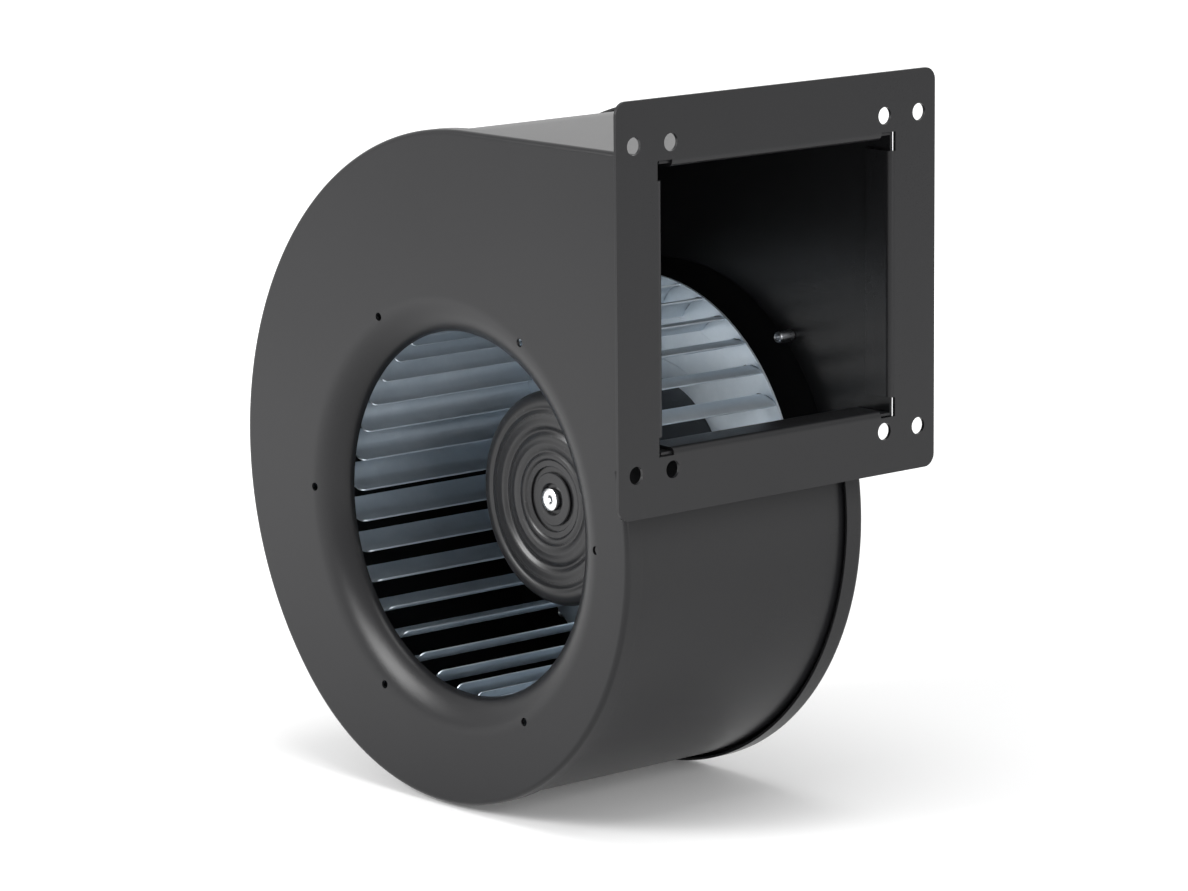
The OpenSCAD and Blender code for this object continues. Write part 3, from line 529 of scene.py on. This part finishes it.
lip_rows = [(FLANGE_X, LIP_BEND + EASE)]
lip_rows += [(FLANGE_X - LIP_BEND + LIP_BEND * math.sin(t), LIP_BEND - LIP_BEND * math.cos(t))
             for t in [math.radians(90 - 90 * k / 6) for k in range(7)]]
lip_rows += [(FLANGE_X - LIP_BEND - EASE, 0), (FLANGE_X - LIP_DEPTH, 0)]
sides = [((Y0 + RELIEF, Z0), (Y1 - RELIEF, Z0), (0, -1)),
         ((Y1, Z0 + RELIEF), (Y1, Z1 - RELIEF), (1, 0)),
         ((Y1 - RELIEF, Z1), (Y0 + RELIEF, Z1), (0, 1)),
         ((Y0, Z1 - RELIEF), (Y0, Z0 + RELIEF), (-1, 0))]
reach = LIP_BEND + EASE
corners = [(Y1 + reach, Z0 - reach), (Y1 + reach, Z1 + reach), (Y0 - reach, Z1 + reach),
           (Y0 - reach, Z0 - reach)]

bm = bmesh.new()
opening = []
for (a, b, (oy, oz)), (cy, cz) in zip(sides, corners):
    strip(bm, [[(x, a[0] + out * oy, a[1] + out * oz), (x, b[0] + out * oy, b[1] + out * oz)]
               for x, out in lip_rows])
    opening += [Vector(a) + reach * Vector((oy, oz)), Vector(b) + reach * Vector((oy, oz)),
                Vector((cy, cz))]
drilled = [(Vector((MID_Y + sy * pitch / 2, MID_Z + sz * HOLE_RISE)), HOLE_R)
           for pitch in HOLE_PITCHES for sy in (-1, 1) for sz in (-1, 1)]
frame_loop = rounded_frame(FLANGE_Y, FLANGE_Z, FLANGE_CORNER)
filled(bm, [frame_loop, opening], [], drilled, lambda p: (FLANGE_X, p.x, p.y))
flange = skin("flange_frame", bm, (1, 0, 0), FLANGE_T, powder.material, "housing", 0.2)
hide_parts("outlet_flange")
print("Flange opening:", round(Y1 - Y0, 1), "by", round(Z1 - Z0, 1), "mm")

# %% [markdown]
# ## A ring of copies
#
# Blades and rivets repeat round the shaft. One Geometry Nodes tree serves them:
# it puts a point at the shaft for each copy, turns the copies by equal steps about Y, and
# realises them, since instances don't survive an export.

# %% The tree, and a call that bakes it
ring_tree = bpy.data.node_groups.new("Copies round the shaft", "GeometryNodeTree")
face = ring_tree.interface
face.new_socket("Geometry", in_out="INPUT", socket_type="NodeSocketGeometry")
face.new_socket("Copies", in_out="INPUT", socket_type="NodeSocketInt")
face.new_socket("Start", in_out="INPUT", socket_type="NodeSocketFloat")
face.new_socket("Finish", in_out="INPUT", socket_type="NodeSocketMaterial")
face.new_socket("Geometry", in_out="OUTPUT", socket_type="NodeSocketGeometry")


def ring_node(kind, settings=None, links=None):
    made = ring_tree.nodes.new(kind)
    for key, value in (settings or {}).items():
        setattr(made, key, value)
    for key, value in (links or {}).items():
        if isinstance(value, bpy.types.NodeSocket):
            ring_tree.links.new(value, made.inputs[key])
        else:
            made.inputs[key].default_value = value
    return made


given = ring_node("NodeGroupInput")
points = ring_node("GeometryNodePoints", {}, {"Count": given.outputs["Copies"]})
index = ring_node("GeometryNodeInputIndex")
step = ring_node("ShaderNodeMath", {"operation": "DIVIDE"}, {
    0: 2 * math.pi, 1: given.outputs["Copies"]})
angle = ring_node("ShaderNodeMath", {"operation": "MULTIPLY_ADD"}, {
    0: index.outputs[0], 1: step.outputs[0], 2: given.outputs["Start"]})
turned = ring_node("ShaderNodeCombineXYZ", {}, {"Y": angle.outputs[0]})
copies = ring_node("GeometryNodeInstanceOnPoints", {}, {
    "Points": points.outputs[0], "Instance": given.outputs["Geometry"],
    "Rotation": turned.outputs[0]})
real = ring_node("GeometryNodeRealizeInstances", {}, {"Geometry": copies.outputs[0]})
coated = ring_node("GeometryNodeSetMaterial", {}, {
    "Geometry": real.outputs[0], "Material": given.outputs["Finish"]})
ring_node("NodeGroupOutput", {}, {0: coated.outputs[0]})


def round_the_shaft(one, name, copies, start, material, body):
    """Repeats a piece round the shaft and bakes the result into one plain mesh."""
    one.parent = None
    modifier = one.modifiers.new("Copies", "NODES")
    modifier.node_group = ring_tree
    wanted = {"Copies": copies, "Start": math.radians(start), "Finish": material}
    for item in ring_tree.interface.items_tree:
        if item.in_out == "INPUT" and item.name in wanted:
            modifier[item.identifier] = wanted[item.name]
    bpy.context.view_layer.update()
    graph = bpy.context.evaluated_depsgraph_get()
    mesh = bpy.data.meshes.new_from_object(one.evaluated_get(graph))
    bpy.data.objects.remove(one)
    made = bpy.data.objects.new(name, mesh)
    bpy.context.scene.collection.objects.link(made)
    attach(made, body)
    print(name, "has", copies, "copies and", len(mesh.polygons), "faces")
    return made


# %% [markdown]
# ## The blades
#
# Each blade is a strip of thin sheet, curved across its width and straight along the shaft,
# with a rounded corner at the inlet and two tabs that pass through the rear disc. The width is
# sampled along one arc; the corner is made by starting each sample a little deeper.

# %% One blade, then the wheel
BLADE_IN, BLADE_OUT, LEAD, CURVE = 62.8, 72.9, 6.5, 10.5
FRONT, DISC, CORNER = 12.0, 90.4, 2.2
TABS, TAB_REACH, BLADE_T = [(65.6, 67.8), (69.9, 72.1)], 1.7, 0.6


def blade_arc(radii):
    """Points (x, z) of a blade's section at the given radii, for the blade at the top."""
    a = Vector((0, BLADE_IN))
    b = BLADE_OUT * Vector((math.sin(math.radians(LEAD)), math.cos(math.radians(LEAD))))
    chord = b - a
    middle = (a + b) / 2 + math.sqrt(CURVE ** 2 - chord.length_squared / 4) * Vector(
        (chord.y, -chord.x)) / chord.length
    start, end = a - middle, b - middle
    sweep = start.angle_signed(end)
    found = []
    for radius in radii:
        low, high = 0.0, 1.0
        for _ in range(40):
            share = (low + high) / 2
            c, s = math.cos(sweep * share), math.sin(sweep * share)
            p = middle + Vector((start.x * c + start.y * s, start.y * c - start.x * s))
            low, high = (share, high) if p.length < radius else (low, share)
        found.append(p)
    return found


radii = sorted({62.8, 62.9, 63.2, 63.7, 64.3, 65.0, 68.9, 72.9} | {r for tab in TABS for r in tab})
section = blade_arc(radii)
starts = [FRONT + CORNER - math.sqrt(max(0, CORNER ** 2 - max(0, BLADE_IN + CORNER - r) ** 2))
          for r in radii]
bm = bmesh.new()
strip(bm, [[(p.x, start, p.y), (p.x, DISC, p.y)] for p, start in zip(section, starts)])
for low, high in TABS:
    strip(bm, [[(p.x, DISC, p.y), (p.x, DISC + TAB_REACH, p.y)]
               for p, r in zip(section, radii) if low <= r <= high])
turn_out(bm, Vector((-1, 0, 0)))
blade = finished("blade", bm, zinc.material, "rotor")
wall = blade.modifiers.new("Wall", "SOLIDIFY")
wall.thickness, wall.offset, wall.use_even_offset = BLADE_T * MM, 0, True
edge_radius(blade, 0.2, 2)
BLADES, FIRST_BLADE = 37, -62.1
blades = round_the_shaft(blade, "wheel_blades", BLADES, FIRST_BLADE, zinc.material, "rotor")
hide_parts("impeller_blades")

# %% [markdown]
# ## The motor's can
#
# The can is deep-drawn and turned, so its whole shape is one profile spun about the shaft.
# Broad shallow rings run round its face, and the centre is dished round the shaft's boss.

# %% Turned pieces of the rotor
def turned_piece(name, profile, material, body, count=160):
    """Spins (radius, depth) points; the profile starts and ends anywhere, or closes on itself."""
    bm = bmesh.new()
    spun(bm, profile, count)
    bmesh.ops.remove_doubles(bm, verts=bm.verts, dist=0.002 * MM)
    bmesh.ops.recalc_face_normals(bm, faces=bm.faces)
    return finished(name, bm, material, body)


def ripple(r):
    """Depth of the can's face at a radius: shallow rings pressed and turned into it."""
    return CAN_FACE + sum(height * math.exp(-((r - centre) / width) ** 2)
                          for centre, width, height in RINGS)


CAN_FACE, SHOULDER, CAN_R, CAN_END = 44.6, 4.1, 37.4, 93.7
# centre radius, width and depth of each ring; a negative depth stands proud
RINGS = [(16.6, 0.8, 0.35), (19.2, 1.0, -0.2), (23.7, 1.1, 0.8), (26.0, 1.5, -0.15),
         (31.2, 0.9, 0.45)]
face_rows = [Vector((r / 5, ripple(r / 5))) for r in range(71, int(5 * (CAN_R - SHOULDER)), 2)]
corner = arc((CAN_R - SHOULDER, CAN_FACE + SHOULDER), SHOULDER, 270, 360, 7.5)
dish = [(11.3, 46.1), (11.3, 45.4), (11.5, 45.2), (13.4, 45.2), (13.9, 44.75)]
skirt = [(CAN_R, 49.2), (CAN_R, CAN_END), (35.9, CAN_END), (35.9, 48.5), (34.0, 46.3),
         (31.0, 46.1), (11.3, 46.1)]
can = dish + face_rows + corner + skirt
rotor = turned_piece("rotor_shell", can, dipped.material, "rotor")
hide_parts("rotor_can")

bush = [(4.05, 46.4), (5.4, 46.4), (5.4, 45.2), (5.7, 44.9), (9.0, 44.9), (9.3, 45.2),
        (9.3, 46.1), (16, 46.1), (16, 48.1), (5.9, 48.1), (5.9, 52.0), (4.05, 52.0), (4.05, 46.4)]
boss = turned_piece("shaft_boss", bush, dipped.material, "rotor", 96)
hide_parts("rotor_bush")

# the shaft has a centre dimple in front and a groove for its circlip near the back
shaft = [(0, 44.7), (0.9, 43.75), (1.1, 43.6), (3.55, 43.6), (3.9, 43.8), (4, 44.1), (4, 95.3),
         (3.6, 95.3), (3.6, 96.1), (4, 96.1), (4, 97.9), (3.6, 98.3), (0, 98.3)]
bar = turned_piece("shaft_bar", shaft, bright_steel, "rotor", 64)
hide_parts("motor_shaft")
print("Turned pieces are ready")

# %% [markdown]
# ## Fasteners
#
# A blind rivet has a low dome outside and a barrel inside, whose end is left open by the drawn
# mandrel. One of each kind is turned at the top of its pitch circle, and the same tree that
# made the wheel puts the rest round the shaft.

# %% Carrier rivets and hub rivets
PLATE_OUT, RIVET_REACH, HUB_RIVET_REACH = 106.5, 80.5, 40.95


def fastener(name, profile, reach, copies, start, body):
    """Turns (radius, depth) points about an axis that stands off from the shaft by reach."""
    bm = bmesh.new()
    spun(bm, profile, 28)
    bmesh.ops.translate(bm, verts=bm.verts, vec=(0, 0, reach * MM))
    bmesh.ops.recalc_face_normals(bm, faces=bm.faces)
    one = finished(name + "_one", bm, zinc_plate, body)
    return round_the_shaft(one, name, copies, start, zinc_plate, body)


dome = [(3.3 * math.sin(t), PLATE_OUT + 1.4 * math.cos(t))
        for t in [math.radians(15 * k) for k in range(7)]]
barrel = [(1.75, PLATE_OUT), (1.75, 104.0), (2.1, 103.7), (2.1, 98.4), (1.85, 97.6), (1.35, 97.3),
          (1.1, 97.5), (1.0, 98.2), (1.0, 99.0), (0.75, 98.6), (0, 98.5)]
rivets = fastener("carrier_rivet_set", dome + barrel, RIVET_REACH, 4, 45, "housing")
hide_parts("carrier_rivets")

button = [(0, 90.4), (1.2, 90.42), (2.1, 90.6), (2.5, 91.0), (2.5, 91.4), (1.3, 91.4),
          (1.3, 93.7), (2.5, 93.7), (2.5, 94.3), (2.0, 94.65), (0, 94.7)]
hub_set = fastener("hub_rivet_set", button, HUB_RIVET_REACH, 6, 0, "rotor")
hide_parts("hub_rivets")

# %% [markdown]
# ## Finishes on the frame's own pieces
#
# Most of the motor's inside keeps its CAD shape, which is already right. Each piece only takes
# a finish in its material slots, so nothing about its size or place can change.

# %% Finishes for the pieces that stay
kept = {
    zinc.material: ["impeller_disc", "impeller_ring"],
    dipped.material: ["impeller_hub"],
    powder.material: ["carrier_plate"],
    cast_alloy: ["motor_flange"],
    zinc_plate: ["motor_screws"],
    grey_plastic: ["bearing_cap"],
    rubber: ["cable_grommet"],
    laminated: ["stator_core"],
    nylon: ["front_insulator", "rear_insulator"],
    copper: ["stator_coils"],
    board_green: ["driver_board"],
    sleeve: ["board_capacitors"],
    epoxy: ["board_chips"],
    bright_steel: ["bearing_outer_rings", "bearing_inner_rings", "bearing_shields",
                   "bearing_balls"],
    brass: ["bearing_cages"],
    dark_steel: ["shaft_circlip", "preload_washer"],
    ferrite: ["rotor_magnets"],
}
for finish, names in kept.items():
    for name in names:
        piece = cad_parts[name]
        if not piece.data.materials:
            piece.data.materials.append(finish)
        for place in piece.material_slots:
            place.material = finish
print("Finishes on", sum(len(names) for names in kept.values()), "frame pieces")

# %% [markdown]

# %% [markdown]
# ## The set
#
# The fan stands on a wide, flat, pale floor. Seen directly or in a reflection, the floor also
# glows a little, more so further out, so that it runs into the white world while it keeps the
# object's shadow. The world is white to the camera and to shiny surfaces, and a soft grey to
# everything else, so the light on the object stays at a plain level.

# %% Floor and world
FLOOR_Z, FLOOR_X, FLOOR_Y = -0.1012, 4, 3

bm = bmesh.new()
bm.faces.new([bm.verts.new((x * FLOOR_X, y * FLOOR_Y, FLOOR_Z))
              for x, y in ((-1, -1), (1, -1), (1, 1), (-1, 1))])
mesh = bpy.data.meshes.new("floor")
bm.to_mesh(mesh)
bm.free()
ground = bpy.data.objects.new("floor", mesh)
bpy.context.scene.collection.objects.link(ground)
paper = Finish("pale paper", base_color=(0.88, 0.88, 0.88), roughness=0.9, specular_ior_level=0.1)
seen = (paper.node("ShaderNodeLightPath", out="Is Camera Ray")
        + paper.node("ShaderNodeLightPath", out="Is Glossy Ray"))
away = paper.node("ShaderNodeMapRange", {"interpolation_type": "SMOOTHSTEP"}, {
    "Value": paper.radius(), "From Min": 0.12, "From Max": 0.75, "To Min": 0.08, "To Max": 0.7})
paper.feed(emission_color=(1, 1, 1), emission_strength=seen * away)
ground.data.materials.append(paper.material)

world = bpy.data.worlds.new("studio")
bpy.context.scene.world = world
world.use_nodes = True
sky = world.node_tree
backing = sky.nodes["Background"]
backing.inputs["Color"].default_value = (1, 1, 1, 1)
path = sky.nodes.new("ShaderNodeLightPath")
either = path.outputs["Is Camera Ray"]
for kind in ("Is Glossy Ray", "Is Transmission Ray"):
    larger = sky.nodes.new("ShaderNodeMath")
    larger.operation = "MAXIMUM"
    sky.links.new(either, larger.inputs[0])
    sky.links.new(path.outputs[kind], larger.inputs[1])
    either = larger.outputs[0]
level = sky.nodes.new("ShaderNodeMapRange")
level.inputs["To Min"].default_value = 0.6
level.inputs["To Max"].default_value = 1.0
sky.links.new(either, level.inputs["Value"])
sky.links.new(level.outputs["Result"], backing.inputs["Strength"])
print("Floor at", FLOOR_Z, "m")

# %% [markdown]
# ## Lights
#
# Soft square panels stand round the object: a wide one overhead, the strongest on the inlet's
# side, and a weaker one that looks into the outlet.

# %% Area lights
def panel(name, place, aim, size, power):
    """A square area light at a place, turned to face a point."""
    light = bpy.data.lights.new(name, "AREA")
    light.shape, light.size, light.energy = "SQUARE", size, power
    made = bpy.data.objects.new(name, light)
    made.location = place
    made.rotation_euler = (Vector(aim) - Vector(place)).to_track_quat("-Z", "Y").to_euler()
    bpy.context.scene.collection.objects.link(made)
    return made


panel("overhead", (0.25, 0.0, 1.25), (0, 0.05, 0), 0.9, 9)
panel("inlet_side", (-0.40, -0.95, 0.52), (0, 0.02, 0), 0.55, 13)
panel("outlet_side", (1.35, 0.1, 0.45), (0.05, 0.05, 0.05), 0.6, 7)

# %% [markdown]
# ## Camera
#
# A long lens far away keeps the perspective gentle. The camera looks along the line from its
# place at the given bearing and height, with a very small roll.

# %% Camera
BEARING, HEIGHT, ROLL, LENS = 48.9666, 10.7583, -0.5303, 154.07
a, e, r = (math.radians(v) for v in (BEARING, HEIGHT, ROLL))
back = Vector((math.sin(a) * math.cos(e), -math.cos(a) * math.cos(e), math.sin(e)))
right = Vector((math.cos(a), math.sin(a), 0))
up = back.cross(right)
across = right * math.cos(r) + up * math.sin(r)
upward = up * math.cos(r) - right * math.sin(r)
camera = bpy.data.objects.new("camera", bpy.data.cameras.new("camera"))
camera.data.lens, camera.data.sensor_width = LENS, 36
turned_to = Matrix((across, upward, back)).transposed().to_4x4()
camera.matrix_world = Matrix.Translation((1.29607, -1.06363, 0.34267)) @ turned_to
bpy.context.scene.collection.objects.link(camera)
bpy.context.scene.camera = camera
bpy.context.scene.view_settings.view_transform = "Standard"
print("Camera at", [round(c, 3) for c in camera.location])

# %% A last update of the scene
bpy.context.view_layer.update()
